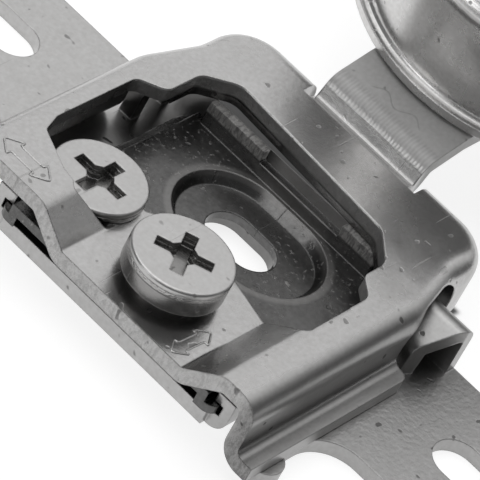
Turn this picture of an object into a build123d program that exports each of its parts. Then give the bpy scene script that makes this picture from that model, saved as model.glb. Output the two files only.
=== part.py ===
from build123d import *
from math import cos, radians, sin, sqrt
import os

# Concealed cup hinge with a wing mounting plate.
#
# The frame: the mounting face of the wings lies in z = 0, the origin is midway
# between the two screw slots, +X points to the door cup, +Y along one wing and
# +Z out of the cabinet side.  The hinge stands open, as it leaves the box.

os.makedirs("parts", exist_ok=True)

# Mounting plate
base_t = 1.5                 # sheet
wing_w = 16.8
wing_span = 78.0             # tip to tip
wing_tip_r = 5.0
slot_w = 5.0                 # screw slots of the wings
slot_len = 8.0
slot_pitch = 59.0
body_back = -17.5            # rear edge of the body
body_half = 19.3             # half width of the body
body_front = 13.0            # the body runs on under the cover's front
body_front_half = 15.5
body_fillet = 4.0            # body to wing
ear_r = 1.9                  # rounded rear ears
ear_x = -16.6
ear_y = 18.7
notch_w = 2.2                # relief between rail and ear
centre_hole = (6.4, 7.6)
centre_hole_r = 2.4

# Rails folded up from the mounting plate
rail_t = 1.0
rail_half = 14.4             # outside of the rail walls
rail_lip = 2.0               # reach of the rail lips from outside
rail_len = 6.4
rail_setback = 0.6           # behind the rear edge
rail_root = 1.6              # outer bend radius to the plate
rail_bend = 0.9              # outer bend radius to the lips

# Front stirrups of the mounting plate
stirrup_t = 1.3
stirrup_back = 2.7           # foot of the rear leg
stirrup_top = 5.9            # above the wings, where its bent sides would meet
stirrup_drop = 2.4           # slope of the roof
stirrup_lean = 0.9           # lean of the rear leg
stirrup_bend = 0.9
stirrup_near = (-20.4, -15.4)
stirrup_near_rear = -18.2    # its outer edge draws in to the rear leg
stirrup_far = (15.4, 16.9)

# Running clearances
run_gap = 0.10               # between sliding sheets
pin_play = 0.12              # eccentric pin in its slot, each side
stem_play = 0.06             # stem in its bore, radial

# Slide plate
slide_t = 0.9
slide_rise = 1.1             # how far the plate stands above its dished floor
slide_back = -17.9
slide_front = 7.4
slide_side_gap = 0.3         # its low runners to the rail walls
slide_lip_gap = 0.4          # its raised middle to the rail lips
slide_corner = 1.2
dish_w = 11.8                # stadium dish
dish_len = 16.0
dish_at = (0.3, -0.8)
dish_slot_y = -0.6
dish_slope = -34.0           # taper of the dish wall, degrees
dish_slot_w = 5.0
dish_slot_len = 7.4
flange_mid = 3.4             # middle of the front flange, above the wings
flange_top = 4.7             # its two tabs
tab_far = (4.2, 11.0)
tab_near = (-9.8, -5.6)

# Arm cover
cover_t = 1.5
cover_half = 17.8
cover_back = -20.5
cover_front = 16.5
cover_draw = 1.7             # the walls draw in by this towards the front
cover_waist = (3.0, 9.6)     # between these
cover_waist_r = 6.0
cover_top = 7.1              # above the wings
cover_corner = 4.6
cover_bend = 2.2
lip_out = 1.9                # the lips stand out this far from the walls
lip_end = 1.6                # the lips and the arches meet here
lip_corner = 1.0
lip_bend = 0.8               # inside radius from wall to lip
arch_end = 10.9
arch_top = 6.3
arch_r = 3.2
apron_bottom = 1.0           # lower edge of the front apron
overcut = 1.0                # cutting bodies run past the sheet by this

# Sunk pad of the arm cover
pad_z = 4.4                  # top
pad_y = (-9.8, 4.7)          # flat part
pad_near_strip = 4.2         # top of its near slope, from the wall's outside
pad_far_shoulder = 8.3       # top of its far slope
pad_run = 17.0               # how far it runs in from the rear edge
pad_bend = 2.1               # outside radius of the shoulders
pad_crease = 0.5             # outside radius at the foot of the slopes

# Window of the arm cover
window_far_strip = 2.7       # its edges, from the outside of the walls
window_near_strip = 4.1
window_pad = -7.9            # edge of the pad
window_pad_y = (-4.6, 2.7)   # the part of that edge that stands forward
window_pad_back = (-9.4, -9.7)  # near and far end of that edge
window_waist = (-0.8, 0.9)   # the window steps in between these
window_far_front = 12.6
window_near_front = -11.7
window_front = 8.3
window_front_lean = 1.3      # its front edge leans back this much on the near side
window_corner_far = 2.8      # slanted front corners
window_corner_near = 3.0
window_bend = 1.8            # front corners
window_step_r = 1.3          # corners of the steps
window_small_r = 0.7         # other corners
window_rim = 2.3             # depth of the turned-down rim in front
window_rim_back = 2.4
rim_t = 0.9
bay_lap = 0.15               # the roof laps over the height screw's head by this
bay_back = 0.7               # the bay's rear corner behind that head
bay_pad = 1.25               # the bay meets the pad this far in front of it

# Tongue and cheeks of the arm cover
hinge_y = -0.2               # middle of the tongue and of the cup
tongue_w = 12.2
tongue_root = 15.1
tongue_fold = 1.6            # length of its first slope
tongue_dip = 0.7             # the tongue dips before its joggle
tongue_rise = 2.5            # joggle
tongue_run = 1.15            # length of the joggle's steep part
tongue_ramp = 6.0            # end of the ramp to the inner end
tongue_end = 30.27
tongue_bends = (1.5, 0.9, 1.2, 3.0)
relief_w = 0.9               # slits beside the root
cheek_t = 1.0
cheek_r = 2.6
cheek_drop = 6.95            # pivot above the middle of the tongue's sheet
roller_cheek_r = 2.1

# Height screw, on a lug of the pad under the edge of the roof
height_x = -11.5
height_y = 8.9
height_head_r = 4.55
height_roof_gap = 0.1        # roof to head
height_throw = 1.6
height_rim_r = 3.6
height_rim_t = 0.5           # riveted rim under the lug
height_stem_r = 3.1
height_pin_r = 1.2
height_cross_turn = 0.0
lug_r = 4.1
lug_bridge = 4.0             # width of the lug's bridge from the pad

# Depth screw
depth_x = -14.0
depth_y = -2.4
depth_head_r = 4.8
depth_head_t = 2.7
depth_head_top = 8.0
depth_washer_r = 3.4
depth_rim_r = 3.0
depth_throw = 1.4
depth_stem_r = 2.5
depth_pin_r = 1.5
depth_pin_gap = 0.3          # end of the pin above the mounting face
depth_cross_turn = 26.0

# Both screws
cam_turn = 45.0              # each way
cross_len = 5.4              # cross recess
cross_w = 1.25
cross_depth = 1.5
edge_break = 0.15            # small chamfers of turned pieces
weld = 0.3                   # how far one form runs into the next in a solid

# Cup
cup_r = 17.5                 # fits a 35 mm bore
cup_t = 0.9
cup_depth = 11.7             # below the door's face
cup_flange_r = 18.6
cup_corner = 2.4
cup_root = 0.7               # radius between wall and flange
cup_mouth_r = 0.72
cup_tilt = 8.0
cup_screw_pitch = 45.0
cup_screw_x = 9.5
cup_screw_d = 5.4
cup_ear_reach = 9.9          # beyond the flange
cup_ear_x = (3.0, 16.0)
cup_ear_round = 0.5          # its corners and roots, as shares of its reach
cup_ear_root = 0.3

# Pivot, with its spacing sleeves
pivot_x = 27.5
pivot_z = 16.04              # above the wings
pivot_in_cup = (-10.4, 4.0)  # from the cup's axis, into the door
pin_r = 1.25
sleeve_r = 2.2
sleeve_gap = 0.15

# Roller and closing spring
roller_r = 1.6
roller_arm = 3.0             # from the pivot
roller_angle = 50.0
roller_pin_r = 0.8
leaf_t = 0.5
leaf_w = 8.4
leaf_gap = 0.15              # to the roller
leaf_start = 72.0            # the wrapped part, seen from the pivot
leaf_sweep = 78.0
leaf_knee_run = 0.9
leaf_foot_run = 2.8
rivet_x = 1.8                # from the cup's axis
rivet_r = 1.2
rivet_head_r = 2.1
rivet_head_t = 0.7
rivet_gap = 0.6              # rivet head to the end of the leaf
leaf_bends = (1.2, 0.7)

# Heights above the wings
dish_floor = run_gap + slide_t
slide_top = run_gap + slide_rise + slide_t
lip_low = run_gap + slide_t + run_gap
lip_top = lip_low + rail_t
roof_low = cover_top - cover_t
pad_low = pad_z - cover_t

# Half widths
rail_inner = rail_half - rail_t
rail_foot = rail_half - rail_root - weld
slide_half = rail_inner - slide_side_gap
platform_half = rail_half - rail_lip - slide_lip_gap
wing_front = wing_w / 2
wall_in = cover_half - cover_t
pad_shoulder = (pad_near_strip - cover_half, pad_far_shoulder)
window_far = cover_half - window_far_strip
window_near = window_near_strip - cover_half

# Travel of the two slides
height_travel = height_throw * sin(radians(cam_turn))


def level(z):
    """A plane z above the wings."""
    return Plane.XY.offset(base_t + z)


def along_y(y):
    """A plane across Y at y; its local x, y are the model's X and height above the wings."""
    return Plane(origin=(0, y, base_t), x_dir=(1, 0, 0), z_dir=(0, -1, 0))


def along_x(x):
    """A plane across X at x; its local x, y are the model's Y and height above the wings."""
    return Plane(origin=(x, 0, base_t), x_dir=(0, 1, 0), z_dir=(1, 0, 0))


def save(part, label):
    part.label = label
    export_step(part, f"parts/{label}.step")


# Mounting plate: wings with screw slots, rear ears, rails and front stirrups
notch_y = (rail_foot + rail_half + notch_w) / 2
pin_low = depth_y + depth_throw * cos(radians(cam_turn)) - depth_pin_r - pin_play
pin_high = depth_y + depth_throw + depth_pin_r + pin_play
with BuildPart() as base_plate:
    with BuildSketch():
        RectangleRounded(wing_w, wing_span, wing_tip_r)
        with Locations(((body_back + wing_front) / 2, 0)):
            Rectangle(wing_front - body_back, 2 * body_half)
        with Locations((ear_x, ear_y), (ear_x, -ear_y)):
            Circle(ear_r)
        with Locations((body_front / 2, 0)):
            Rectangle(body_front, 2 * body_front_half)
        fillet(
            [v for v in vertices() if abs(v.X + wing_front) < 0.01 and abs(abs(v.Y) - body_half) < 0.01],
            body_fillet,
        )
    extrude(amount=base_t)
    with BuildSketch():
        with Locations((0, slot_pitch / 2), (0, -slot_pitch / 2)):
            SlotOverall(slot_len, slot_w, rotation=90)
        RectangleRounded(*centre_hole, centre_hole_r)
        with Locations((body_back + rail_len / 2, notch_y), (body_back + rail_len / 2, -notch_y)):
            Rectangle(rail_len, rail_half + notch_w - rail_foot)
        with Locations((depth_x, (pin_low + pin_high) / 2)):
            SlotOverall(pin_high - pin_low, 2 * (depth_pin_r + pin_play), rotation=90)
    extrude(amount=base_t, mode=Mode.SUBTRACT)
    with BuildSketch(along_x(body_back + rail_setback)):
        with BuildLine():
            Polyline(
                (rail_foot - weld, -base_t),
                (rail_half, -base_t),
                (rail_half, lip_top),
                (rail_half - rail_lip, lip_top),
                (rail_half - rail_lip, lip_low),
                (rail_inner, lip_low),
                (rail_inner, 0),
                (rail_foot - weld, 0),
                close=True,
            )
        make_face()
        outer_corners = vertices().group_by(Axis.X)[-1].sort_by(Axis.Y)
        fillet(outer_corners[0], rail_root)
        fillet(outer_corners[-1], rail_bend)
        mirror(about=Plane.YZ)
    extrude(amount=rail_len - rail_setback)
    for inner, outer in (stirrup_near, stirrup_far):
        with BuildSketch(along_y(outer)):
            with BuildLine():
                FilletPolyline(
                    (wing_front - stirrup_t / 2, -base_t / 2),
                    (wing_front - stirrup_t / 2, stirrup_top - stirrup_t / 2),
                    (stirrup_back + stirrup_lean, stirrup_top - stirrup_drop - stirrup_t / 2),
                    (stirrup_back + stirrup_t / 2, -base_t / 2),
                    radius=stirrup_bend,
                )
            trace(line_width=stirrup_t)
        extrude(amount=outer - inner)
    with BuildSketch(level(0)):
        Polygon(
            (wing_front - stirrup_t, stirrup_near[0]),
            (stirrup_back, stirrup_near_rear),
            (stirrup_back - weld, stirrup_near_rear),
            (stirrup_back - weld, stirrup_near[0] - weld),
            (wing_front - stirrup_t, stirrup_near[0] - weld),
            align=None,
        )
    extrude(amount=stirrup_top, mode=Mode.SUBTRACT)
save(base_plate.part, "base_plate")

# Slide plate: low runners in the rails, raised middle, dished round the centre slot, flange in front
pin_near = height_x + height_throw * cos(radians(cam_turn)) - height_pin_r - pin_play
pin_far = height_x + height_throw + height_pin_r + pin_play
slide_mid = (slide_back + slide_front) / 2
slide_len = slide_front - slide_back
with BuildPart() as slide_plate:
    with BuildSketch(level(run_gap)):
        with Locations((slide_mid, 0)):
            Rectangle(slide_len, 2 * slide_half)
        fillet(vertices(), slide_corner)
        with Locations((slide_mid, 0)):
            Rectangle(slide_len, 2 * (platform_half - slide_t), mode=Mode.SUBTRACT)
    extrude(amount=slide_t)
    with BuildSketch(level(dish_floor)):
        with Locations((slide_mid, 0)):
            Rectangle(slide_len, 2 * platform_half)
            Rectangle(slide_len, 2 * (platform_half - slide_t), mode=Mode.SUBTRACT)
    extrude(amount=slide_top - dish_floor)
    with BuildSketch(level(slide_top - slide_t)):
        with Locations((slide_mid, 0)):
            Rectangle(slide_len, 2 * platform_half)
    extrude(amount=slide_t)
    with BuildSketch(level(slide_top - slide_t)):
        with Locations((slide_front - slide_t / 2, (tab_far[0] + tab_near[1]) / 2)):
            Rectangle(slide_t, tab_far[0] - tab_near[1])
    extrude(amount=flange_mid - slide_top + slide_t)
    with BuildSketch(level(slide_top - slide_t)):
        for inner, outer in (tab_near, tab_far):
            with Locations((slide_front - slide_t / 2, (inner + outer) / 2)):
                Rectangle(slide_t, outer - inner)
    extrude(amount=flange_top - slide_top + slide_t)
    with BuildSketch(level(run_gap)):
        with Locations(dish_at):
            SlotOverall(dish_len, dish_w, rotation=90)
    extrude(amount=slide_top - run_gap)
    with BuildSketch(level(dish_floor)):
        with Locations(dish_at):
            SlotOverall(dish_len - 2 * slide_t, dish_w - 2 * slide_t, rotation=90)
    extrude(amount=slide_top - dish_floor, taper=dish_slope, mode=Mode.SUBTRACT)
    with BuildSketch(level(0)):
        with Locations((0, dish_slot_y)):
            SlotOverall(dish_slot_len, dish_slot_w, rotation=90)
        with Locations((depth_x, depth_y)):
            Circle(depth_stem_r + stem_play)
        with Locations(((pin_near + pin_far) / 2, height_y)):
            SlotOverall(pin_far - pin_near, 2 * (height_pin_r + pin_play))
    extrude(amount=slide_top, mode=Mode.SUBTRACT)
save(slide_plate.part, "slide_plate")


def cover_outline(back, inset):
    """The cover's outline from above, from back on, drawn in by inset; the walls draw in in front."""
    Polygon(
        (back - inset, -cover_half),
        (cover_waist[0], -cover_half),
        (cover_waist[1], cover_draw - cover_half),
        (cover_front, cover_draw - cover_half),
        (cover_front, cover_half - cover_draw),
        (cover_waist[1], cover_half - cover_draw),
        (cover_waist[0], cover_half),
        (back - inset, cover_half),
        align=None,
    )
    fillet(vertices().group_by(Axis.X)[-1], cover_corner)
    fillet([v for v in vertices() if min(abs(v.X - x) for x in cover_waist) < weld], cover_waist_r)
    if inset:
        offset(amount=-inset, kind=Kind.INTERSECTION)


def hat(inset):
    """The cover's hat-shaped body, drawn in by inset on every side of its sheet."""
    back = cover_back - inset
    with BuildPart() as body:
        with BuildSketch(level(run_gap - inset)):
            cover_outline(back, inset)
        extrude(amount=cover_top - run_gap)
        roof_edges = faces().sort_by(Axis.Z)[-1].edges()
        fillet(roof_edges.sort_by(Axis.X)[1:], cover_bend - inset)
        with BuildSketch(along_x(back)):
            Polygon(
                (pad_shoulder[0], 2 * cover_top),
                (pad_shoulder[0], cover_top),
                (pad_y[0], pad_z),
                (pad_y[1], pad_z),
                (pad_shoulder[1], cover_top),
                (pad_shoulder[1], 2 * cover_top),
                align=None,
            )
            if inset:
                offset(amount=inset, kind=Kind.INTERSECTION)
        extrude(amount=pad_run + 2 * inset, mode=Mode.SUBTRACT)
        pad_edges = edges().filter_by(Axis.X).filter_by(lambda e: abs(e.length - pad_run - 2 * inset) < 0.01)
        fillet(pad_edges.group_by(Axis.Z)[-1], pad_bend - inset)
        fillet(pad_edges.group_by(Axis.Z)[0], pad_crease + inset)
    return body.part


# Pivot, roller and the cup's own frame
pivot = (pivot_x, pivot_z)
roller = (
    pivot_x + roller_arm * cos(radians(roller_angle)),
    pivot_z + roller_arm * sin(radians(roller_angle)),
)
along_cup = Vector(cos(radians(cup_tilt)), 0, sin(radians(cup_tilt)))
into_door = Vector(-sin(radians(cup_tilt)), 0, cos(radians(cup_tilt)))
cup_centre = Vector(pivot_x, hinge_y, base_t + pivot_z) - along_cup * pivot_in_cup[0] - into_door * pivot_in_cup[1]
cup_plane = Plane(origin=cup_centre, x_dir=along_cup, z_dir=into_door)
cup_section = Plane(origin=cup_centre, x_dir=along_cup, z_dir=(0, -1, 0))

# Arm cover: one hat-section stamping with the window, the sunk pad and the tongue
cover_shell = hat(0)
cover_space = hat(cover_t)
bay_r = height_head_r - bay_lap
bay_start = (height_x - bay_r, height_y)
bay_mid = (height_x + bay_r * cos(radians(165)), height_y + bay_r * sin(radians(165)))
bay_end = (height_x + bay_r * cos(radians(150)), height_y + bay_r * sin(radians(150)))
with BuildSketch() as window:
    with BuildLine():
        ThreePointArc(bay_start, bay_mid, bay_end)
        Polyline(
            bay_end,
            (height_x - bay_r / 2, window_far - window_small_r),
            (height_x, window_far),
            (window_waist[0], window_far),
            (window_waist[1], window_far_front),
            (window_front - window_corner_far, window_far_front),
            (window_front, window_far_front - window_corner_far),
            (window_front - window_front_lean, window_near_front + window_corner_near),
            (window_front - window_front_lean - window_corner_near, window_near_front),
            (window_waist[1], window_near_front),
            (window_waist[0], window_near),
            (window_pad_back[0], window_near),
            (window_pad_back[0], pad_y[0]),
            (window_pad, window_pad_y[0]),
            (window_pad, window_pad_y[1]),
            (window_pad_back[1], pad_y[1]),
            (height_x - bay_r + bay_pad, pad_y[1]),
            (height_x - bay_r - bay_back, pad_shoulder[1]),
            bay_start,
        )
    make_face()
    fillet([v for v in vertices() if v.X > window_waist[1] + weld], window_bend)
    fillet([v for v in vertices() if min(abs(v.X - x) for x in window_waist) < weld], window_step_r)
    fillet([v for v in vertices() if v.X < window_waist[0] - 2 * window_step_r], window_small_r)

wall_cut = wall_in + cover_t + lip_out + overcut
front_in = wall_in - cover_draw
with BuildPart() as arches:
    for inset, top in ((0, arch_top), (cover_bend - cover_t, roof_low)):
        with BuildSketch(level(-overcut)):
            for side in (1, -1):
                Polygon(
                    (lip_end - overcut, side * (wall_in - inset)),
                    (cover_waist[0], side * (wall_in - inset)),
                    (cover_waist[1], side * (front_in - inset)),
                    (cover_front, side * (front_in - inset)),
                    (cover_front, side * wall_cut),
                    (lip_end - overcut, side * wall_cut),
                    align=None,
                )
        extrude(amount=top + overcut)
    with BuildSketch(along_y(wall_cut)):
        with Locations(((lip_end + arch_end) / 2, 0)):
            Rectangle(arch_end - lip_end, 2 * arch_top)
        fillet(vertices().group_by(Axis.Y)[-1], arch_r)
    extrude(amount=2 * wall_cut, mode=Mode.INTERSECT)

pad_slot_r = depth_stem_r + pin_play
roof = cover_top - cover_t / 2
tongue_z = pivot_z - cheek_drop
with BuildPart() as arm_cover:
    add(cover_shell)
    add(cover_space, mode=Mode.SUBTRACT)
    # lips beside the wings
    with BuildSketch(level(run_gap)):
        for side in (1, -1):
            with Locations(((cover_back + lip_end) / 2, side * (wall_in + cover_half + lip_out) / 2)):
                Rectangle(lip_end - cover_back, cover_t + lip_out)
        fillet([v for v in vertices() if abs(v.Y) > cover_half and v.X > lip_end - lip_corner], lip_corner)
    extrude(amount=cover_t)
    # turned-down rim at the front of the window
    with BuildSketch(level(cover_top - window_rim)):
        add(window.sketch)
        offset(amount=rim_t, kind=Kind.ARC)
        with Locations((window_rim_back - cover_front, 0)):
            Rectangle(2 * cover_front, 2 * cover_half, mode=Mode.SUBTRACT)
    extrude(amount=window_rim - cover_t / 2)
    with BuildSketch(level(0)):
        add(window.sketch)
        with Locations((depth_x, depth_y)):
            SlotOverall(2 * (pad_slot_r + height_travel), 2 * pad_slot_r, rotation=90)
    extrude(amount=2 * cover_top, mode=Mode.SUBTRACT)
    # lug of the height screw, bridged to the pad
    with BuildSketch(level(pad_low)):
        with Locations((height_x, height_y)):
            Circle(lug_r)
        with Locations((height_x, (height_y + pad_y[1] - weld) / 2)):
            Rectangle(lug_bridge, height_y - pad_y[1] + weld)
        with Locations((height_x, height_y)):
            Circle(height_stem_r + stem_play, mode=Mode.SUBTRACT)
    extrude(amount=cover_t)
    # arches over the stirrups, lower edge of the apron, gap for the tongue
    add(arches.part, mode=Mode.SUBTRACT)
    with BuildSketch(level(-overcut)):
        with Locations(((arch_end + cover_front + overcut) / 2, 0)):
            Rectangle(cover_front + overcut - arch_end, 2 * (cover_half + overcut))
    extrude(amount=apron_bottom + overcut, mode=Mode.SUBTRACT)
    with BuildSketch(level(0)):
        with Locations(((tongue_root - tongue_fold + cover_front + overcut) / 2, hinge_y)):
            Rectangle(cover_front + overcut - tongue_root + tongue_fold, tongue_w + 2 * relief_w)
    extrude(amount=2 * cover_top, mode=Mode.SUBTRACT)
    # the lips curl out of the walls
    lip_edges = edges().filter_by(Axis.X).filter_by(lambda e: e.length > lip_end - cover_back - weld)
    curl_in = lip_edges.filter_by(lambda e: abs(abs(e.center().Y) - cover_half) < weld)
    curl_out = lip_edges.filter_by(lambda e: abs(abs(e.center().Y) - wall_in) < weld)
    fillet(curl_in.group_by(Axis.Z)[0], lip_bend)
    fillet(curl_out.group_by(Axis.Z)[0], lip_bend + cover_t)
    # tongue: joggled up from the front edge, running under the rim into the cup
    with BuildSketch(along_y(hinge_y + tongue_w / 2)):
        with BuildLine():
            FilletPolyline(
                (tongue_root - tongue_fold - cover_t, roof),
                (tongue_root - tongue_fold, roof),
                (tongue_root, roof - tongue_dip),
                (tongue_root + tongue_run, roof - tongue_dip + tongue_rise),
                (tongue_root + tongue_ramp, tongue_z),
                (tongue_end, tongue_z),
                radius=tongue_bends,
            )
        trace(line_width=cover_t)
    extrude(amount=tongue_w)
    # cheeks inside the cup carry the pivot and the roller
    with BuildSketch(along_y(hinge_y + tongue_w / 2), along_y(hinge_y + cheek_t - tongue_w / 2)):
        with Locations(pivot):
            Circle(cheek_r)
        with Locations(roller):
            Circle(roller_cheek_r)
        with Locations(((pivot_x - cheek_r + tongue_end) / 2, tongue_z)):
            Rectangle(tongue_end - pivot_x + cheek_r, cover_t)
        make_hull()
    extrude(amount=cheek_t)
    with BuildSketch(along_y(cover_half)):
        with Locations(pivot):
            Circle(pin_r + stem_play)
        with Locations(roller):
            Circle(roller_pin_r)
    extrude(amount=2 * cover_half, mode=Mode.SUBTRACT)
save(arm_cover.part, "arm_cover")


def cross_recess(x, y, top, turn):
    """A cross recess for a driver, with its wide middle."""
    with BuildPart() as recess:
        with BuildSketch(level(top - cross_depth)):
            with Locations((x, y)):
                Rectangle(cross_len, cross_w, rotation=turn)
                Rectangle(cross_w, cross_len, rotation=turn)
                Rectangle(2 * cross_w, 2 * cross_w, rotation=turn + 45)
        extrude(amount=2 * cross_depth)
    return recess.part


# Height screw: head on the lug, riveted rim under it, eccentric pin in the slide plate
height_top = roof_low - height_roof_gap
height_head_z = pad_z + stem_play
height_rim_z = pad_low - run_gap - height_rim_t
height_cross = cross_recess(height_x, height_y, height_top, height_cross_turn)
height_pin_z = slide_top - slide_t - run_gap
with BuildPart() as height_cam:
    with BuildSketch(level(height_head_z)):
        with Locations((height_x, height_y)):
            Circle(height_head_r)
    extrude(amount=height_top - height_head_z)
    chamfer(edges().sort_by(Axis.Z)[-1], edge_break)
    with BuildSketch(level(height_rim_z)):
        with Locations((height_x, height_y)):
            Circle(height_rim_r)
    extrude(amount=height_rim_t)
    with BuildSketch(level(height_rim_z)):
        with Locations((height_x, height_y)):
            Circle(height_stem_r)
    extrude(amount=height_head_z + weld - height_rim_z)
    with BuildSketch(level(height_pin_z)):
        with Locations((height_x + height_throw, height_y)):
            Circle(height_pin_r)
    extrude(amount=height_rim_z - height_pin_z + weld)
    add(height_cross, mode=Mode.SUBTRACT)
save(height_cam.part, "height_cam")

# Depth screw: high head over the pad, journal in the slide plate, eccentric pin in the mounting plate
depth_cross = cross_recess(depth_x, depth_y, depth_head_top, depth_cross_turn)
depth_head_z = depth_head_top - depth_head_t
depth_rim_z = run_gap
depth_rim_t = slide_top - slide_t - 2 * run_gap
depth_pin_z = depth_pin_gap - base_t
with BuildPart() as depth_cam:
    with BuildSketch(level(depth_head_z)):
        with Locations((depth_x, depth_y)):
            Circle(depth_head_r)
    extrude(amount=depth_head_t)
    fillet(edges().sort_by(Axis.Z)[-1], 2 * edge_break)
    chamfer(edges().sort_by(Axis.Z)[0], edge_break)
    with BuildSketch(level(depth_rim_z)):
        with Locations((depth_x, depth_y)):
            Circle(depth_rim_r)
    extrude(amount=depth_rim_t)
    with BuildSketch(level(depth_rim_z)):
        with Locations((depth_x, depth_y)):
            Circle(depth_stem_r)
    extrude(amount=depth_head_z + weld - depth_rim_z)
    with BuildSketch(level(depth_pin_z)):
        with Locations((depth_x, depth_y + depth_throw)):
            Circle(depth_pin_r)
    extrude(amount=depth_rim_z + weld - depth_pin_z)
    add(depth_cross, mode=Mode.SUBTRACT)
save(depth_cam.part, "depth_cam")

with BuildPart() as depth_washer:
    with BuildSketch(level(pad_z + run_gap)):
        with Locations((depth_x, depth_y)):
            Circle(depth_washer_r)
            Circle(depth_stem_r + stem_play, mode=Mode.SUBTRACT)
    extrude(amount=depth_head_z - pad_z - run_gap)
save(depth_washer.part, "depth_washer")

# Cup: a drawn shell with a flange, two screw ears and the holes of the pivot pin
cup_in = cup_r - cup_t
with BuildPart() as cup:
    with BuildSketch(cup_section):
        with BuildLine():
            Polyline(
                (0, cup_depth),
                (cup_r, cup_depth),
                (cup_r, 0),
                (cup_flange_r, 0),
                (cup_flange_r, -cup_t),
                (cup_in, -cup_t),
                (cup_in, cup_depth - cup_t),
                (0, cup_depth - cup_t),
                close=True,
            )
        make_face()
        fillet(vertices().filter_by(lambda v: abs(v.X - cup_r) < 0.01 and v.Y > 1), cup_corner)
        fillet(vertices().filter_by(lambda v: abs(v.X - cup_in) < 0.01 and v.Y > 1), cup_corner - cup_t)
        fillet(vertices().filter_by(lambda v: abs(v.X - cup_in) < 0.01 and v.Y < 0), cup_mouth_r)
        fillet(vertices().filter_by(lambda v: abs(v.X - cup_r) < 0.01 and abs(v.Y) < 0.01), cup_root)
    revolve(axis=Axis(cup_centre, into_door))
    with BuildSketch(cup_plane.offset(-cup_t)):
        Circle(cup_flange_r)
        with Locations(((cup_ear_x[0] + cup_ear_x[1]) / 2, 0)):
            Rectangle(cup_ear_x[1] - cup_ear_x[0], 2 * (cup_flange_r + cup_ear_reach))
        fillet([v for v in vertices() if abs(v.Y) > cup_flange_r + weld], cup_ear_round * cup_ear_reach)
        fillet([v for v in vertices() if abs(v.Y) < cup_flange_r], cup_ear_root * cup_ear_reach)
        Circle(cup_r, mode=Mode.SUBTRACT)
        with Locations((cup_screw_x, cup_screw_pitch / 2), (cup_screw_x, -cup_screw_pitch / 2)):
            Circle(cup_screw_d / 2, mode=Mode.SUBTRACT)
    extrude(amount=cup_t)
    with BuildSketch(cup_section):
        with Locations(pivot_in_cup):
            Circle(pin_r)
    extrude(amount=cup_flange_r, both=True, mode=Mode.SUBTRACT)
    with BuildSketch(cup_plane):
        with Locations((rivet_x, 0)):
            Circle(rivet_r)
    extrude(amount=2 * cup_depth, mode=Mode.SUBTRACT)
save(cup.part, "cup")

# Pivot pin across the cup, with a spacing sleeve on each side of the tongue's cheeks
pin_half = sqrt(cup_r**2 - (pivot_in_cup[0] - pin_r) ** 2)
with BuildPart() as pivot_pin:
    with BuildSketch(along_y(hinge_y + pin_half)):
        with Locations(pivot):
            Circle(pin_r)
    extrude(amount=2 * pin_half)
    chamfer(edges().filter_by(GeomType.CIRCLE), edge_break)
save(pivot_pin.part, "pivot_pin")

sleeve_out = sqrt(cup_in**2 - (pivot_in_cup[0] - sleeve_r) ** 2) - sleeve_gap
for side, label in ((1, "pivot_sleeve_left"), (-1, "pivot_sleeve_right")):
    with BuildPart() as sleeve:
        with BuildSketch(along_y(hinge_y + side * (tongue_w / 2 + sleeve_gap))):
            with Locations(pivot):
                Circle(sleeve_r)
                Circle(pin_r + stem_play / 2, mode=Mode.SUBTRACT)
        extrude(amount=-side * (sleeve_out - tongue_w / 2 - sleeve_gap))
        chamfer(edges().filter_by(GeomType.CIRCLE), edge_break)
    save(sleeve.part, label)

# Roller between the cheeks, on its own pin
with BuildPart() as roller_pin:
    with BuildSketch(along_y(hinge_y + tongue_w / 2)):
        with Locations(roller):
            Circle(roller_pin_r)
    extrude(amount=tongue_w)
save(roller_pin.part, "roller_pin")

roller_half = tongue_w / 2 - cheek_t - sleeve_gap
with BuildPart() as cam_roller:
    with BuildSketch(along_y(hinge_y + roller_half)):
        with Locations(roller):
            Circle(roller_r)
            Circle(roller_pin_r + stem_play, mode=Mode.SUBTRACT)
    extrude(amount=2 * roller_half)
    chamfer(edges().filter_by(GeomType.CIRCLE), edge_break)
save(cam_roller.part, "cam_roller")

# Closing spring: a leaf riveted to the cup's floor and wrapped round the roller's path
leaf_r = roller_arm + roller_r + leaf_gap + leaf_t / 2
leaf_z = cup_depth - cup_t - leaf_t / 2
pivot_u, pivot_w = pivot_in_cup
leaf_edge = (
    pivot_u + leaf_r * cos(radians(leaf_start)),
    pivot_w + leaf_r * sin(radians(leaf_start)),
)
leaf_knee = (
    leaf_edge[0] + leaf_knee_run * sin(radians(leaf_start)),
    leaf_edge[1] - leaf_knee_run * cos(radians(leaf_start)),
)
with BuildPart() as closing_spring:
    with BuildSketch(cup_section.offset(leaf_w / 2)):
        with BuildLine():
            FilletPolyline(
                (rivet_x + rivet_head_r + rivet_gap, leaf_z),
                (leaf_knee[0] + leaf_foot_run, leaf_z),
                leaf_knee,
                leaf_edge,
                radius=leaf_bends,
            )
            CenterArc(pivot_in_cup, leaf_r, leaf_start, leaf_sweep)
        trace(line_width=leaf_t)
    extrude(amount=-leaf_w)
    with BuildSketch(cup_plane):
        with Locations((rivet_x, 0)):
            Circle(rivet_r)
    extrude(amount=cup_depth, mode=Mode.SUBTRACT)
save(closing_spring.part, "closing_spring")

with BuildPart() as spring_rivet:
    with BuildSketch(cup_plane.offset(cup_depth)):
        with Locations((rivet_x, 0)):
            Circle(rivet_r)
    extrude(amount=-cup_t - leaf_t - rivet_head_t / 2)
    with BuildSketch(cup_plane.offset(cup_depth - cup_t - leaf_t)):
        with Locations((rivet_x, 0)):
            Circle(rivet_head_r)
    extrude(amount=-rivet_head_t)
    fillet(faces().sort_by(Axis(cup_centre, into_door))[0].edges(), 2 * edge_break)
save(spring_rivet.part, "spring_rivet")
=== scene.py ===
import bpy
import numpy as np
from mathutils import Matrix, Vector


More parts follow.
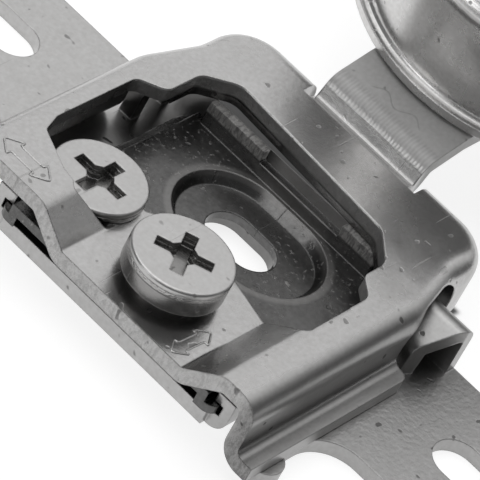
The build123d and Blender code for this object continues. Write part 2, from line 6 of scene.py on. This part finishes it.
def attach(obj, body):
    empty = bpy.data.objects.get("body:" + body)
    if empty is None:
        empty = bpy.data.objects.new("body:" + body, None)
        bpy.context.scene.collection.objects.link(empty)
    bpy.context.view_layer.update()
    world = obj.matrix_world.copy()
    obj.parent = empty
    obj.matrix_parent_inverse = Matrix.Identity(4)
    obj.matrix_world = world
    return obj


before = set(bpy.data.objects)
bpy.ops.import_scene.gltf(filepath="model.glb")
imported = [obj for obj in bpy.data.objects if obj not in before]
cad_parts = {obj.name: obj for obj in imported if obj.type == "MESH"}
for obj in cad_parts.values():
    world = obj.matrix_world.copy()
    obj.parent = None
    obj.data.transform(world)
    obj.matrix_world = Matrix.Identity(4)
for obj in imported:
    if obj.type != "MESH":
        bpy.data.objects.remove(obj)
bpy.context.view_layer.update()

mm = 0.001
perMetre = 1000.0    # mm in a metre
fullTurn = 6.2832    # radians


class Value:
    # one socket of a node graph, so that shader maths reads as an expression

    def __init__(self, graph, socket):
        self.graph = graph
        self.socket = socket

    def maths(self, operation, *others):
        return self.graph.maths(operation, self, *others)

    def __add__(self, other):
        return self.maths("ADD", other)

    def __radd__(self, other):
        return self.maths("ADD", other)

    def __sub__(self, other):
        return self.maths("SUBTRACT", other)

    def __rsub__(self, other):
        return self.graph.maths("SUBTRACT", other, self)

    def __mul__(self, other):
        return self.maths("MULTIPLY", other)

    def __rmul__(self, other):
        return self.maths("MULTIPLY", other)

    def __abs__(self):
        return self.maths("ABSOLUTE")

    def between(self, low, high):
        # 0 at low and 1 at high, with soft ends
        smooth = {"interpolation_type": "SMOOTHSTEP"}
        return self.graph.node("ShaderNodeMapRange", smooth, Value=self, i1=low, i2=high)


class Graph:
    # a node tree under construction: node() makes any node, and feed() sets or links a socket

    def __init__(self, tree):
        self.tree = tree

    def feed(self, target, item):
        if isinstance(item, Value):
            self.tree.links.new(item.socket, target)
        else:
            target.default_value = item

    def node(self, kind, settings=None, output=0, **sockets):
        # a socket goes by its name, or by i and its place, as in i0
        made = self.tree.nodes.new(kind)
        for key, item in (settings or {}).items():
            setattr(made, key, item)
        for key, item in sockets.items():
            placed = key[0] == "i" and key[1:].isdigit()
            self.feed(made.inputs[int(key[1:]) if placed else key], item)
        if output is None:
            return made
        return Value(self, made.outputs[output])

    def maths(self, operation, *terms):
        sockets = {f"i{place}": term for place, term in enumerate(terms)}
        return self.node("ShaderNodeMath", {"operation": operation}, **sockets)

    def mix(self, share, first, second):
        return self.node("ShaderNodeMix", {"data_type": "RGBA"}, output=2, i0=share, i6=first, i7=second)


class Shader(Graph):
    # a material under construction, with the place on the piece as x, y and z in mm

    def __init__(self, name):
        self.material = bpy.data.materials.new(name)
        self.material.use_nodes = True
        super().__init__(self.material.node_tree)
        self.bsdf = self.tree.nodes["Principled BSDF"]
        self.place = self.node("ShaderNodeTexCoord", output="Object")
        self.x, self.y, self.z = self.apart(self.place)

    def apart(self, vector):
        split = self.node("ShaderNodeSeparateXYZ", output=None, Vector=vector)
        return [Value(self, out) * perMetre for out in split.outputs]

    def stretched(self, scale):
        return self.node("ShaderNodeMapping", Vector=self.place, Scale=scale)

    def noise(self, scale, detail, rough, vector=None):
        return self.node("ShaderNodeTexNoise", output="Fac", Vector=vector or self.place, Scale=scale,
                         Detail=detail, Roughness=rough)

    def surface(self, name, item):
        self.feed(self.bsdf.inputs[name], item)


def grey(value, warm):
    return (value * (1 + warm), value, value * (1 - warm), 1.0)


# What every plated piece shares. A noise is its scale per metre, its detail and its roughness.
# Pits and scratches each have a depth in mm, and what they add to the roughness and the dark.
plating = {
    "cloud": (170.0, 4.0, 0.6),
    "cloudRough": 0.16,
    "cloudShare": 0.35,                   # of the tone
    "speckle": (2300.0, 1.0, 0.5),
    "speckleShare": 0.65,
    "contrast": 2.2,
    "grain": (3200.0, 2.0, 0.5),
    "waves": (380.0, 1.0, 0.4),
    "lines": (1.0, 4.0, 0.7),             # on a stretched place, as the scratches are
    "pits": (1100.0, 0.0, 0.5),
    "pitFrom": (0.78, 0.85),
    "pitDepth": 0.02,
    "pitRough": 0.2,
    "pitDark": 0.5,
    "scratches": (1.0, 1.0, 0.5),
    "scratchScale": (90.0, 3400.0, 90.0),
    "scratchFrom": (0.73, 0.79),
    "scratchDepth": 0.012,
    "scratchRough": 0.1,
    "scratchDark": 0.18,
    "warmth": (0.006, 0.012, 0.02),       # of the light, dark and shade tones
    "edgeWear": 0.00022,                  # m, the soft shine along every cut edge
    "edgeSamples": 6,
}


def plated(name, s, extra=None):
    # plated metal: cloudy tone, fine grain, drawing lines, scratches and a few small pits
    p = plating
    m = Shader(name)
    m.surface("Metallic", s.get("metallic", 1.0))
    cloud = m.noise(*p["cloud"])
    grain = m.noise(*p["grain"])
    waves = m.noise(*p["waves"])
    lines = m.noise(*p["lines"], m.stretched(s["lineScale"]))
    speckle = m.noise(*p["speckle"])
    pits = m.noise(*p["pits"]).between(*p["pitFrom"])
    turned = m.node("ShaderNodeMapping", Vector=m.place, Rotation=(0.0, 0.0, s["scratchTurn"]),
                    Scale=p["scratchScale"])
    scratches = m.noise(*p["scratches"], turned).between(*p["scratchFrom"])
    height = grain * s["grain"] + waves * s["waves"] + lines * s["lines"]
    height = height - pits * p["pitDepth"] - scratches * p["scratchDepth"]
    rough = s["roughness"] + (cloud - 0.5) * p["cloudRough"]
    rough = rough + pits * p["pitRough"] + scratches * p["scratchRough"]
    dark = pits * p["pitDark"] + scratches * p["scratchDark"]
    if extra:
        height, rough, dark = extra(m, s, height, rough, dark)
    lightWarm, darkWarm, shadeWarm = p["warmth"]
    clouded = cloud * p["cloudShare"] + speckle * p["speckleShare"]
    spread = (clouded - 0.5) * p["contrast"] + 0.5
    tone = m.mix(spread, grey(s["light"], lightWarm), grey(s["dark"], darkWarm))
    tone = m.mix(dark, tone, grey(s["shade"], shadeWarm))
    worn = m.node("ShaderNodeBevel", {"samples": p["edgeSamples"]}, Radius=p["edgeWear"])
    normal = m.node("ShaderNodeBump", Height=height, Distance=mm, Strength=1.0, Normal=worn)
    m.surface("Base Color", tone)
    m.surface("Roughness", rough)
    m.surface("Normal", normal)
    return m.material


def dress(nodeName, material):
    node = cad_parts[nodeName]
    node.data.materials.clear()
    node.data.materials.append(material)


# Arm cover, with places in mm
coverFinish = {
    "light": 0.50,
    "dark": 0.42,
    "shade": 0.10,
    "roughness": 0.26,
    "grain": 0.006,
    "waves": 0.030,
    "lines": 0.004,
    "scratchTurn": 0.9,
    "lineScale": (500.0, 4200.0, 900.0),
    "roofZ": 8.6,                         # with the plate's sheet
    "wallFrom": (15.6, 17.2),             # out from the middle, where the near wall gets painted shade and more roughness
    "windowRear": (9.0, 1.5),             # from the middle, and how softly the window ends there
    "windowFront": (9.4, 0.4),
    "windowSide": (15.2, 0.6),
    "insideFrom": (1.35, 1.65),           # below the roof, where the window's inside gets painted shade
    "rimFrom": (0.05, 0.25),
    "rearEdge": (-20.4, 0.06),
    "tear": (1.0, 4.0, 0.75),
    "tearScale": (600.0, 2600.0, 1300.0),
    "tearDepth": 0.22,
    "streakFrom": (0.42, 0.60),
    "joggleFrom": (0.5, 1.1),             # above the roof
    "joggleEnd": (17.5, 0.6),             # where the stretch ribs over the joggle's crest end
    "ribPitch": 0.36,
    "ribDrift": (420.0, 2.0, 0.5),
    "ribDriftBy": 9.0,                    # radians
    "ribDepth": 0.014,
    "tongueFrom": (15.1, 16.1),
    "lobes": (18.2, 0.45, 3.4),           # pressed line across the tongue, darkened as painted shade in its groove: place, swing and pitch
    "lobeHalf": 0.16,
    "lobesEnd": (3.2, 0.5),
    "lobeDepth": 0.012,
    "rimTorn": 0.7,                       # the window's rim against the sheared rear edge
    "rimStreak": 0.5,
    "tongueMatt": 0.7,                    # how far the tongue's shine is taken from a metal's
    "roughBy": {"torn": 0.12, "nearWall": 0.06, "tongue": 0.24, "rim": 0.18},
    "darkBy": {"nearWall": 0.50, "inside": 0.75, "pressed": 0.25, "streak": 0.26, "ribs": 0.16},
}


def coverExtra(m, s, height, rough, dark):
    (rear, rearSoft), (front, frontSoft) = s["windowRear"], s["windowFront"]
    (side, sideSoft), (edge, edgeSoft) = s["windowSide"], s["rearEdge"]
    (ribsEnd, ribsSoft), (lobesEnd, lobesSoft) = s["joggleEnd"], s["lobesEnd"]
    lobeAt, lobeSwing, lobePitch = s["lobes"]
    r, d = s["roughBy"], s["darkBy"]
    # painted shade on the near wall, which faces away from the light
    nearWall = (0.0 - m.y).between(*s["wallFrom"])
    within = (m.x + rear).between(0.0, rearSoft) * (front - m.x).between(0.0, frontSoft)
    within = within * (side - abs(m.y)).between(0.0, sideSoft)
    # painted shade inside the window, below the roof
    inside = within * (s["roofZ"] - m.z).between(*s["insideFrom"])
    rim = within * (s["roofZ"] - m.z).between(*s["rimFrom"]) * (1.0 - inside)
    torn = (edge - m.x).between(0.0, edgeSoft)
    tear = m.noise(*s["tear"], m.stretched(s["tearScale"]))
    streak = tear.between(*s["streakFrom"])
    band = (m.z - s["roofZ"]).between(*s["joggleFrom"]) * (ribsEnd - m.x).between(0.0, ribsSoft)
    drift = m.noise(*s["ribDrift"]) * s["ribDriftBy"]
    ribs = (m.y * (fullTurn / s["ribPitch"]) + drift).maths("SINE") * 0.5 + 0.5
    tongue = m.x.between(*s["tongueFrom"])
    swing = (m.y * (fullTurn / lobePitch)).maths("COSINE") * lobeSwing
    offset = m.x + swing - lobeAt
    # the pressed line's groove gets painted shade
    pressed = (s["lobeHalf"] - abs(offset)).between(0.0, s["lobeHalf"])
    pressed = pressed * (lobesEnd - abs(m.y)).between(0.0, lobesSoft)
    m.surface("Metallic", 1.0 - tongue * s["tongueMatt"])
    height = height + (torn + rim * s["rimTorn"]) * tear * s["tearDepth"]
    height = height + band * ribs * s["ribDepth"] - pressed * s["lobeDepth"]
    rough = rough + torn * r["torn"] + nearWall * r["nearWall"] + tongue * r["tongue"] + rim * r["rim"]
    dark = dark + nearWall * d["nearWall"] + inside * d["inside"] + pressed * d["pressed"]
    dark = dark + (torn + rim * s["rimStreak"]) * streak * d["streak"]
    dark = dark + band * ribs * d["ribs"]
    return height, rough, dark.maths("MAXIMUM", 0.0).maths("MINIMUM", 1.0)


# Mounting plate
baseFinish = {
    "light": 0.50,
    "dark": 0.42,
    "shade": 0.07,
    "roughness": 0.30,
    "grain": 0.006,
    "waves": 0.020,
    "lines": 0.0015,
    "scratchTurn": 0.35,
    "lineScale": (3000.0, 500.0, 900.0),
    "nearFrom": (10.0, 18.0),             # mm out from the middle, on the near side, which gets painted shade, orange peel and more roughness
    "peel": (2000.0, 2.0, 0.5),
    "peelTop": (2.2, 0.3),                # z in mm, and how softly it ends there
    "peelDepth": 0.03,
    "bodySide": (18.0, 3.0),              # mm out from the middle, where the body under the cover gets painted shade
    "bodyRear": (15.0, 3.0),
    "nearRough": 0.06,
    "darkBy": {"near": 0.26, "inside": 0.65},
    "darkest": 0.95,
}


def baseExtra(m, s, height, rough, dark):
    (top, topSoft), (side, sideSoft), (rear, rearSoft) = s["peelTop"], s["bodySide"], s["bodyRear"]
    # painted shade on the near wing, along with its orange peel
    near = (0.0 - m.y).between(*s["nearFrom"])
    peel = m.noise(*s["peel"]) * near * (top - m.z).between(0.0, topSoft)
    # painted shade on the body, under the cover
    inside = (side - abs(m.y)).between(0.0, sideSoft) * (m.x + rear).between(0.0, rearSoft)
    height = height + peel * s["peelDepth"]
    dark = dark + near * s["darkBy"]["near"] + inside * s["darkBy"]["inside"]
    return height, rough + near * s["nearRough"], dark.maths("MINIMUM", s["darkest"])


# Slide plate
slideFinish = {
    "light": 0.15,
    "dark": 0.10,
    "shade": 0.42,
    "roughness": 0.27,
    "grain": 0.008,
    "waves": 0.040,
    "lines": 0.004,
    "scratchTurn": 1.2,
    "lineScale": (700.0, 2600.0, 700.0),
    "specks": (1900.0, 3.0, 0.7),
    "speckFrom": (0.58, 0.70),
    "patches": (90.0, 1.0, 0.5),
    "patchFrom": (0.40, 0.65),
    "speckDepth": 0.02,
    "dishX": 0.3,                         # mm, the middle of a circle drawn out along y
    "dishY": 0.8,                         # towards the near side
    "dishRadius": 5.9,
    "dishStraight": 2.1,                  # half its length
    # the dish's rolled rim, where a painted highlight lies
    "dishRim": (0.75, 0.45),
    "plateTop": (3.0, 0.3),
    "tabTop": (4.9, 0.3),                 # torn tops of the front flange
    "tear": (1.0, 3.0, 0.7),
    "tearScale": (900.0, 3800.0, 900.0),
    "tearDepth": 0.30,
    "streakFrom": (0.35, 0.60),
    "tabMatt": 0.6,                       # how far the tabs' shine is taken from a metal's
    "roughBy": {"specks": 0.1, "ring": 0.1, "tab": 0.15},
    "darkBy": {"specks": 0.5, "ring": 0.26, "streak": 0.7, "tab": 0.3},
}


def slideExtra(m, s, height, rough, dark):
    # this dark sheet's own specks stand in for the tone of the pits and scratches
    (rim, rimSoft), (top, topSoft), (tabTop, tabSoft) = s["dishRim"], s["plateTop"], s["tabTop"]
    r, d = s["roughBy"], s["darkBy"]
    specks = m.noise(*s["specks"]).between(*s["speckFrom"]) * m.noise(*s["patches"]).between(*s["patchFrom"])
    outX = m.x - s["dishX"]
    outY = (abs(m.y + s["dishY"]) - s["dishStraight"]).maths("MAXIMUM", 0.0)
    fromDish = (outX * outX + outY * outY).maths("SQRT") - s["dishRadius"]
    # painted highlight: the dish's rim is lightened towards this sheet's lighter shade tone
    ring = (rim - abs(fromDish)).between(0.0, rimSoft) * (m.z - top).between(0.0, topSoft)
    tab = (m.z - tabTop).between(0.0, tabSoft)
    tear = m.noise(*s["tear"], m.stretched(s["tearScale"]))
    m.surface("Metallic", 1.0 - tab * s["tabMatt"])
    height = height + specks * s["speckDepth"] + tab * tear * s["tearDepth"]
    rough = rough + specks * r["specks"] + ring * r["ring"] + tab * r["tab"]
    dark = specks * d["specks"] + ring * d["ring"]
    dark = dark + tab * (tear.between(*s["streakFrom"]) * d["streak"] + d["tab"])
    return height, rough, dark


# Screws, pins, washer, roller, spring and sleeves
screwFinish = {
    "light": 0.51,
    "dark": 0.44,
    "shade": 0.20,
    "roughness": 0.30,
    "grain": 0.006,
    "waves": 0.008,
    "lines": 0.003,
    "scratchTurn": 0.6,
    "lineScale": (800.0, 800.0, 2600.0),
}
depthScrewFinish = dict(screwFinish, top=9.5)      # z of the head in mm
heightScrewFinish = dict(screwFinish, top=7.0)
springFinish = dict(screwFinish, light=0.24, dark=0.18, roughness=0.24)
sleeveFinish = {
    "light": 0.030,
    "dark": 0.022,
    "shade": 0.015,
    "roughness": 0.42,
    "metallic": 0.0,
    "grain": 0.004,
    "waves": 0.01,
    "lines": 0.002,
    "scratchTurn": 0.0,
    "lineScale": (900.0, 2000.0, 900.0),
}
headFinish = {
    "sideFrom": (0.35, 0.6),              # mm below the head's top
    "collarFrom": (0.45, 0.6),
    "collarTo": (0.9, 1.1),
    "footFrom": (3.0, 0.3),               # z in mm, and how softly the side's painted shade starts there
    "milling": (2600.0, 2.0, 0.7),
    "millingDepth": 0.10,
    "sideRough": 0.06,
    "sideShade": 0.75,
    "collarLight": 0.5,                   # of the side's painted shade, taken away on the collar
}


def headExtra(m, s, height, rough, dark):
    # the turned side of a head gets painted shade, darker than its top, with a milled collar under the edge
    # that gets less of it
    h = headFinish
    foot, footSoft = h["footFrom"]
    depth = s["top"] - m.z
    side = depth.between(*h["sideFrom"])
    collar = depth.between(*h["collarFrom"]) * (1.0 - depth.between(*h["collarTo"]))
    height = height + collar * m.noise(*h["milling"]) * h["millingDepth"]
    shaded = (side - collar * h["collarLight"]) * (m.z - foot).between(0.0, footSoft)
    return height, rough - side * h["sideRough"], dark + shaded * h["sideShade"]


# Door cup
cupFinish = {
    "light": 0.68,
    "dark": 0.56,
    "shade": 0.10,
    "roughness": 0.21,
    "grain": 0.003,
    "waves": 0.030,
    "lines": 0.003,
    "scratchTurn": 1.0,
    "lineScale": (900.0, 900.0, 3600.0),
    "centre": (0.038356, -0.0002, 0.015026),       # m
    "tilt": -0.13963,                              # radians
    "ringsPerMm": 3.2,
    "rings": (1.0, 3.0, 0.6),
    "ringFrom": (0.5, 0.7),
    "ringDepth": 0.035,
    "flangeFrom": (14.8, 16.2),                    # radius in mm
    "bowlShare": 0.15,                             # of the rings, and what the flange adds
    "flangeShare": 0.85,
    "flangeRough": 0.06,
    "ringDark": 0.25,
}


def cupExtra(m, s, height, rough, dark):
    # fine rings round the cup's own tilted axis, strongest on the flange
    own = m.node("ShaderNodeMapping", {"vector_type": "TEXTURE"}, Vector=m.place, Location=s["centre"],
                 Rotation=(0.0, s["tilt"], 0.0))
    x, y = m.apart(own)[:2]
    radius = (x * x + y * y).maths("SQRT")
    rings = m.noise(*s["rings"], m.node("ShaderNodeCombineXYZ", X=radius * s["ringsPerMm"]))
    outer = radius.between(*s["flangeFrom"]) * s["flangeShare"] + s["bowlShare"]
    height = height + rings * outer * s["ringDepth"]
    dark = dark + rings.between(*s["ringFrom"]) * outer * s["ringDark"]
    return height, rough + outer * s["flangeRough"], dark


coverSkin = plated("satinSheet", coverFinish, coverExtra)
screwSkin = plated("turnedSteel", screwFinish)
skins = {
    "arm_cover": coverSkin,
    "base_plate": plated("plateSheet", baseFinish, baseExtra),
    "slide_plate": plated("darkSheet", slideFinish, slideExtra),
    "cup": plated("brightDrawnCup", cupFinish, cupExtra),
    "closing_spring": plated("springSteel", springFinish),
    "pivot_sleeve_left": plated("blackSleeve", sleeveFinish),
    "depth_cam": plated("depthScrew", depthScrewFinish, headExtra),
    "height_cam": plated("heightScrew", heightScrewFinish, headExtra),
}
skins["pivot_sleeve_right"] = skins["pivot_sleeve_left"]
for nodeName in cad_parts:
    dress(nodeName, skins.get(nodeName, screwSkin))
print("materials done")


# Raised outlines of the adjusting arrows, with sizes in mm and turns in degrees
arrowBead = {"width": 0.22, "rise": 0.09, "sink": 0.15, "across": 7, "steps": 8, "softenings": 2}
roofArrow = {"name": "height_arrow", "at": (-18.1, 12.6, 8.6), "turn": 90.0, "length": 5.8, "head": 1.5,
             "headWidth": 2.5, "bodyWidth": 1.3}
padArrow = {"name": "depth_arrow", "at": (-17.4, -8.2, 5.9), "turn": -3.0, "length": 5.2, "head": 1.4,
            "headWidth": 2.0, "bodyWidth": 1.0}


def doubleArrow(s, look):
    # the outline runs once round the arrow, and each side is cut into short steps
    tip, wide, slim = s["length"] / 2, s["headWidth"] / 2, s["bodyWidth"] / 2
    neck = tip - s["head"]
    corners = np.array([(tip, 0), (neck, wide), (neck, slim), (-neck, slim), (-neck, wide),
                        (-tip, 0), (-neck, -wide), (-neck, -slim), (neck, -slim), (neck, -wide)])
    steps = np.linspace(0, 1, look["steps"], endpoint=False)[None, :, None]
    path = (corners[:, None] * (1 - steps) + np.roll(corners, -1, 0)[:, None] * steps).reshape(-1, 2)
    for _ in range(look["softenings"]):
        path = (np.roll(path, 1, 0) + 2 * path + np.roll(path, -1, 0)) / 4
    t = np.radians(s["turn"])
    return path @ np.array([[np.cos(t), np.sin(t)], [-np.sin(t), np.cos(t)]])


def bead(s, look, body, material):
    # each point of the path carries a half-round profile square to the path; the ring closes on itself
    path = doubleArrow(s, look)
    along = np.roll(path, -1, 0) - np.roll(path, 1, 0)
    along /= np.linalg.norm(along, axis=1, keepdims=True)
    side = np.stack([-along[:, 1], along[:, 0]], 1)
    half, sink = look["width"] / 2, look["sink"]
    angle = np.linspace(0, np.pi, look["across"])
    across = np.concatenate([np.cos(angle) * half, [-half, half]])
    up = np.concatenate([np.sin(angle) * look["rise"], [-sink, -sink]])
    flat = path[:, None] + side[:, None] * across[None, :, None]
    high = np.broadcast_to(up[None, :, None], flat.shape[:2] + (1,))
    points = (np.concatenate([flat, high], 2).reshape(-1, 3) + np.array(s["at"])) * mm
    grid = np.arange(len(points)).reshape(flat.shape[:2])
    right, down = np.roll(grid, -1, 1), np.roll(grid, -1, 0)
    faces = np.stack([grid, right, np.roll(down, -1, 1), down], 2).reshape(-1, 4)
    mesh = bpy.data.meshes.new(s["name"])
    mesh.from_pydata(points.tolist(), [], faces.tolist())
    mesh.polygons.foreach_set("use_smooth", np.ones(len(mesh.polygons), bool))
    mesh.materials.append(material)
    made = bpy.data.objects.new(s["name"], mesh)
    bpy.context.scene.collection.objects.link(made)
    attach(made, body)


bead(roofArrow, arrowBead, "arm", coverSkin)
bead(padArrow, arrowBead, "arm", coverSkin)
print("arrows done")

# Floor, light and camera
floorLook = {
    "half": 3.0,                          # m
    "colour": (0.92, 0.92, 0.92, 1.0),
    "roughness": 0.9,
    "glow": 1.32,
    "glowShare": 0.62,                    # of what the camera and reflections see
    "shadowPatchColour": (0.05, 0.05, 0.05, 1.0),
    "shadowPatchShare": 0.93,                   # of the glow taken away in the painted shadow under the cover's front
    "underRear": (12.4, 0.4),             # mm, and how softly the strip ends there
    "underFront": (16.6, 0.8),
    "underSide": (16.0, 0.8),
}
lampLook = {
    "lamps": (                            # name, place and size in m, and power in W
        ("topLamp", (-0.06, 0.10, 0.60), 0.60, 1.3),
        ("sideLamp", (-0.45, 0.20, 0.25), 0.24, 0.35),
    ),
}
roomLook = {
    "toLight": (0.72, 0.30, 0.63),        # the brightest part of the room
    "lightFrom": (0.50, 0.90),            # cosine of the angle to it
    "dark": 0.16,
    "bright": 0.98,
}
cameraLook = {
    "right": (0.614, -0.691, 0.376),
    "up": (0.328, 0.659, 0.679),
    "distance": 420.0,                    # mm to the point that it looks at
    "plateTop": 1.5,                      # mm, and where its middle lies in the picture, in pixels
    "originAt": (231.9, 244.7),
    "pixelsPerMm": 11.5,
    "picture": 480.0,                     # pixels
    "sensor": 36.0,                       # mm
    "clip": (0.01, 20.0),                 # m
}


def makeFloor(s):
    half = s["half"]
    corners = [(-half, -half, 0), (half, -half, 0), (half, half, 0), (-half, half, 0)]
    mesh = bpy.data.meshes.new("floor")
    mesh.from_pydata(corners, [], [(0, 1, 2, 3)])
    floor = bpy.data.objects.new("floor", mesh)
    bpy.context.scene.collection.objects.link(floor)
    m = Shader("paleFloor")
    rays = m.node("ShaderNodeLightPath", output=None)
    seen = Value(m, rays.outputs["Is Camera Ray"])
    for kind in ("Is Glossy Ray", "Is Transmission Ray"):
        seen = seen.maths("MAXIMUM", Value(m, rays.outputs[kind]))
    # painted shadow: the floor in the narrow gap under the cover's front is coloured dark and loses most of
    # its glow
    (rear, rearSoft), (front, frontSoft), (side, sideSoft) = s["underRear"], s["underFront"], s["underSide"]
    under = (m.x - rear).between(0.0, rearSoft) * (front - m.x).between(0.0, frontSoft)
    under = under * (side - abs(m.y)).between(0.0, sideSoft)
    m.surface("Base Color", m.mix(under, s["colour"], s["shadowPatchColour"]))
    m.surface("Roughness", s["roughness"])
    share = seen * s["glowShare"] * (1.0 - under * s["shadowPatchShare"])
    glow = m.node("ShaderNodeEmission", Strength=s["glow"])
    mixed = m.node("ShaderNodeMixShader", i0=share, i1=Value(m, m.bsdf.outputs[0]), i2=glow)
    m.feed(m.tree.nodes["Material Output"].inputs["Surface"], mixed)
    mesh.materials.append(m.material)


def makeLamps(s):
    for name, place, size, power in s["lamps"]:
        data = bpy.data.lights.new(name, "AREA")
        data.size = size
        data.energy = power
        lamp = bpy.data.objects.new(name, data)
        lamp.location = place
        lamp.rotation_mode = "QUATERNION"
        lamp.rotation_quaternion = (-Vector(place)).to_track_quat("-Z", "Y")
        bpy.context.scene.collection.objects.link(lamp)


def makeRoom(s):
    # a dark room with one broad bright part
    world = bpy.data.worlds.new("softRoom")
    bpy.context.scene.world = world
    world.use_nodes = True
    g = Graph(world.node_tree)
    where = g.node("ShaderNodeTexCoord", output="Generated")
    facing = g.node("ShaderNodeVectorMath", {"operation": "DOT_PRODUCT"}, output="Value", i0=where,
                    i1=Vector(s["toLight"]).normalized())
    light = facing.between(*s["lightFrom"]) * (s["bright"] - s["dark"]) + s["dark"]
    g.feed(g.tree.nodes["Background"].inputs["Color"], light)


def makeCamera(s):
    right = Vector(s["right"]).normalized()
    up = Vector(s["up"])
    up = (up - right * up.dot(right)).normalized()
    back = right.cross(up)
    scale = s["pixelsPerMm"]
    middle = s["picture"] / 2
    aside, above = middle - s["originAt"][0], s["originAt"][1] - middle
    target = Vector((0, 0, s["plateTop"])) + right * (aside / scale) + up * (above / scale)
    data = bpy.data.cameras.new("camera")
    data.sensor_width = s["sensor"]
    data.lens = s["distance"] * scale * s["sensor"] / s["picture"]
    data.clip_start, data.clip_end = s["clip"]
    camera = bpy.data.objects.new("camera", data)
    turn = Matrix((right, up, back)).transposed().to_4x4()
    camera.matrix_world = Matrix.Translation((target + back * s["distance"]) * mm) @ turn
    bpy.context.scene.collection.objects.link(camera)
    bpy.context.scene.camera = camera


makeFloor(floorLook)
makeLamps(lampLook)
makeRoom(roomLook)
makeCamera(cameraLook)
bpy.context.scene.view_settings.view_transform = "Standard"
print("stage done")
